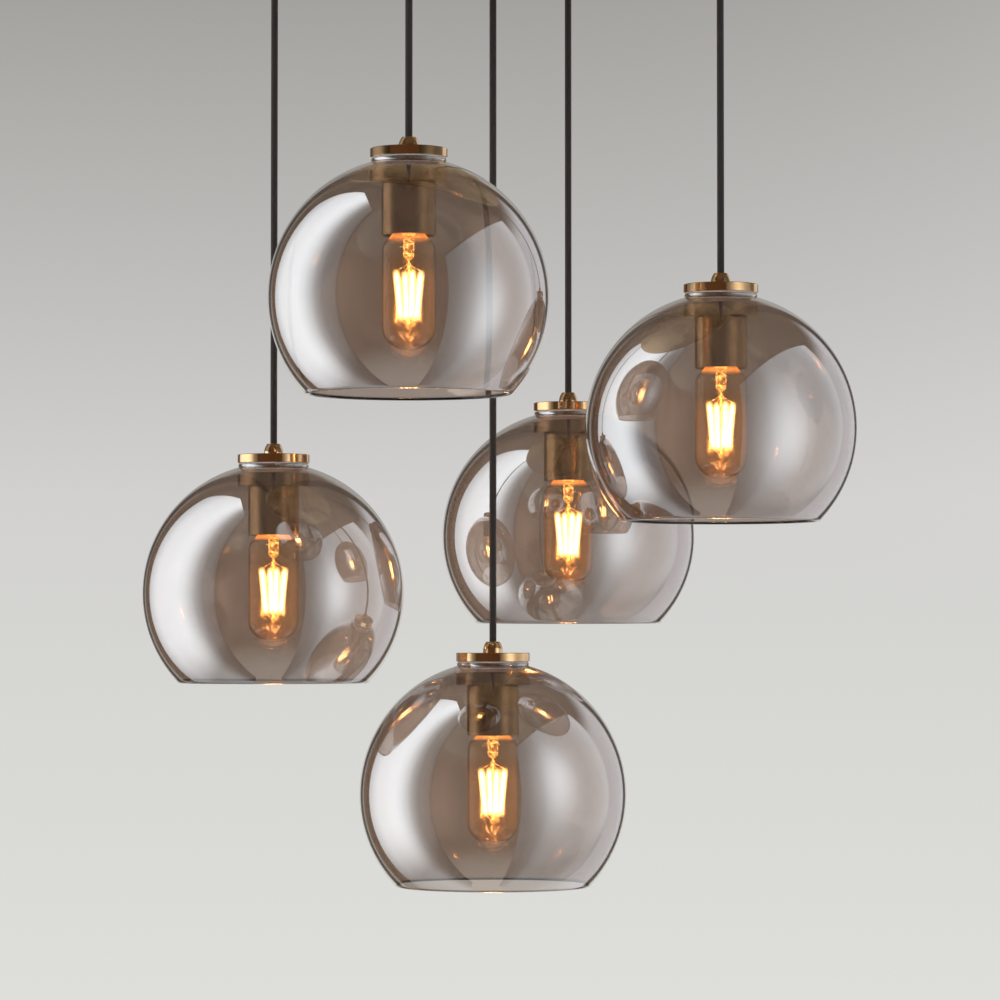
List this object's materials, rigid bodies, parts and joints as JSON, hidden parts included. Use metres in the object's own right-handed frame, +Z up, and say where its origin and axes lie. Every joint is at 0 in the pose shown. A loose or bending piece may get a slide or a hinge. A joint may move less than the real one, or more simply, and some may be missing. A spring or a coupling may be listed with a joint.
{
  "type": "cluster pendant light",
  "caption": "Ceiling cluster light: smoked glass globes on fabric cords at staggered heights under a round canopy.",
  "frame": {"origin": "middle of the mounting strap's top face, on the ceiling", "axes": "+Z up to the ceiling, the mounting strap along X, the picture taken looking along +Y"},
  "size_m": [0.6164, 0.6164, 0.866],
  "materials": {
    "canopy_brass": "satin brushed, lacquered",
    "polished_brass": "polished, warm antique gold",
    "satin_brass": "satin, slightly aged",
    "zinc_steel": "zinc plated",
    "smoked_glass": "smoked grey-brown, half mirrored",
    "bulb_amber_glass": "clear with a warm amber tint",
    "bulb_inner": "lit filaments, glass stem and screw base",
    "black_fabric": "braided over the cord",
    "silicone": "clear, soft",
    "holder_ceramic": "glazed body with brass contacts",
    "terminal_plastic": "moulded, natural white"
  },
  "bodies": {
    "root": {"canopy": "canopy_brass", "mounting_strap": "zinc_steel", "mounting_studs": "zinc_steel", "canopy_nuts": "polished_brass", "canopy_cord_grips": "polished_brass", "grip_lock_nuts": "polished_brass", "terminal_block": "terminal_plastic", "terminal_screws": "zinc_steel", "earth_screw": "polished_brass", "canopy_leads": "black_fabric"},
    "pendant_a": {"cord_a": "black_fabric", "cord_grip_a": "polished_brass", "cap_a": "polished_brass", "globe_a": "smoked_glass", "gaskets_a": "silicone", "clamp_dish_a": "satin_brass", "socket_cup_a": "satin_brass", "lampholder_a": "holder_ceramic", "bulb_glass_a": "bulb_amber_glass", "bulb_core_a": "bulb_inner"},
    "pendant_b": {"cord_b": "black_fabric", "cord_grip_b": "polished_brass", "cap_b": "polished_brass", "globe_b": "smoked_glass", "gaskets_b": "silicone", "clamp_dish_b": "satin_brass", "socket_cup_b": "satin_brass", "lampholder_b": "holder_ceramic", "bulb_glass_b": "bulb_amber_glass", "bulb_core_b": "bulb_inner"},
    "pendant_c": {"cord_c": "black_fabric", "cord_grip_c": "polished_brass", "cap_c": "polished_brass", "globe_c": "smoked_glass", "gaskets_c": "silicone", "clamp_dish_c": "satin_brass", "socket_cup_c": "satin_brass", "lampholder_c": "holder_ceramic", "bulb_glass_c": "bulb_amber_glass", "bulb_core_c": "bulb_inner"},
    "pendant_d": {"cord_d": "black_fabric", "cord_grip_d": "polished_brass", "cap_d": "polished_brass", "globe_d": "smoked_glass", "gaskets_d": "silicone", "clamp_dish_d": "satin_brass", "socket_cup_d": "satin_brass", "lampholder_d": "holder_ceramic", "bulb_glass_d": "bulb_amber_glass", "bulb_core_d": "bulb_inner"},
    "pendant_e": {"cord_e": "black_fabric", "cord_grip_e": "polished_brass", "cap_e": "polished_brass", "globe_e": "smoked_glass", "gaskets_e": "silicone", "clamp_dish_e": "satin_brass", "socket_cup_e": "satin_brass", "lampholder_e": "holder_ceramic", "bulb_glass_e": "bulb_amber_glass", "bulb_core_e": "bulb_inner"}
  },
  "joints": [
    {"name": "swing_a", "type": "hinge", "parent": "root", "child": "pendant_a", "pos_m": [-0.06843, -0.19324, -0.0476], "axis": [-0.3338, -0.9426, 0], "range_deg": [-8, 8]},
    {"name": "swing_b", "type": "hinge", "parent": "root", "child": "pendant_b", "pos_m": [0.19324, -0.06843, -0.0476], "axis": [0.9426, -0.3338, 0], "range_deg": [-8, 8]},
    {"name": "swing_c", "type": "hinge", "parent": "root", "child": "pendant_c", "pos_m": [-0.19324, 0.06843, -0.0476], "axis": [-0.9426, 0.3338, 0], "range_deg": [-8, 8]},
    {"name": "swing_d", "type": "hinge", "parent": "root", "child": "pendant_d", "pos_m": [0.06843, 0.19324, -0.0476], "axis": [0.3338, 0.9426, 0], "range_deg": [-8, 8]},
    {"name": "swing_e", "type": "hinge", "parent": "root", "child": "pendant_e", "pos_m": [0, 0, -0.0476], "axis": [-0.9426, 0.3338, 0], "range_deg": [-8, 8]}
  ]
}
